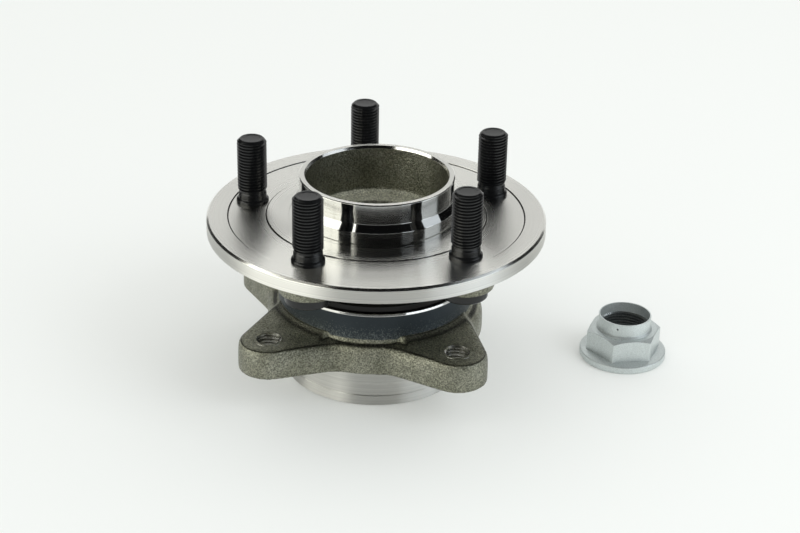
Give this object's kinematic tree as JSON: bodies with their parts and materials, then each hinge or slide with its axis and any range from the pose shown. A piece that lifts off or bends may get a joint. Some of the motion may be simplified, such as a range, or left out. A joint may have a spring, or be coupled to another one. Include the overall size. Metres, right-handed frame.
{
  "type": "wheel hub bearing",
  "caption": "Flanged wheel hub with pilot and studs, turning in a double-row ball bearing whose forged outer ring bolts on by ears, with its loose axle nut.",
  "frame": {"origin": "centre of the wheel's seating face on the hub flange, on the axle's axis", "axes": "+Z along the axle, outboard; +X in the housing's plane of symmetry, on the side where the ears stand further apart and where the loose nut lies"},
  "size_m": [0.2229, 0.1588, 0.1116],
  "materials": {
    "turned_steel": "turned and ground",
    "forged_steel": "shot-blasted forging",
    "bearing_steel": "ground and lapped",
    "phosphated_steel": "black phosphate",
    "zinc_flake_steel": "matt zinc flake",
    "seal_sheet_steel": "pressed sheet",
    "coated_sheet_steel": "black coated sheet",
    "seal_rubber": "moulded nitrile",
    "encoder_rubber": "magnetised rubber",
    "cage_polyamide": "glass-filled polyamide"
  },
  "bodies": {
    "housing": {"bearing_housing": "forged_steel", "outboard_seal_case": "seal_sheet_steel", "outboard_seal_lip": "seal_rubber", "inboard_seal_case": "seal_sheet_steel", "inboard_seal_lip": "seal_rubber"},
    "hub": {"wheel_hub": "turned_steel", "wheel_stud_1": "phosphated_steel", "wheel_stud_2": "phosphated_steel", "wheel_stud_3": "phosphated_steel", "wheel_stud_4": "phosphated_steel", "wheel_stud_5": "phosphated_steel", "inner_ring": "bearing_steel", "outboard_slinger": "coated_sheet_steel", "inboard_slinger": "seal_sheet_steel", "encoder_ring": "encoder_rubber"},
    "outboard_row": {"outboard_balls": "bearing_steel", "outboard_cage": "cage_polyamide"},
    "inboard_row": {"inboard_balls": "bearing_steel", "inboard_cage": "cage_polyamide"},
    "nut": {"axle_nut": "zinc_flake_steel"}
  },
  "joints": [
    {"name": "hub_spin", "type": "hinge", "parent": "housing", "child": "hub", "pos_m": [0, 0, -0.055], "axis": [0, 0, 1], "continuous": true},
    {"name": "outboard_row_spin", "type": "hinge", "parent": "housing", "child": "outboard_row", "pos_m": [0, 0, -0.043], "axis": [0, 0, 1], "continuous": true},
    {"name": "inboard_row_spin", "type": "hinge", "parent": "housing", "child": "inboard_row", "pos_m": [0, 0, -0.067], "axis": [0, 0, 1], "continuous": true},
    {"name": "nut_lift", "type": "slide", "parent": "housing", "child": "nut", "axis": [0, 0, 1], "range_m": [0, 0.06]}
  ],
  "couplings": [
    {"joint": "outboard_row_spin", "follows": "hub_spin", "ratio": 0.4197},
    {"joint": "inboard_row_spin", "follows": "hub_spin", "ratio": 0.4197}
  ]
}
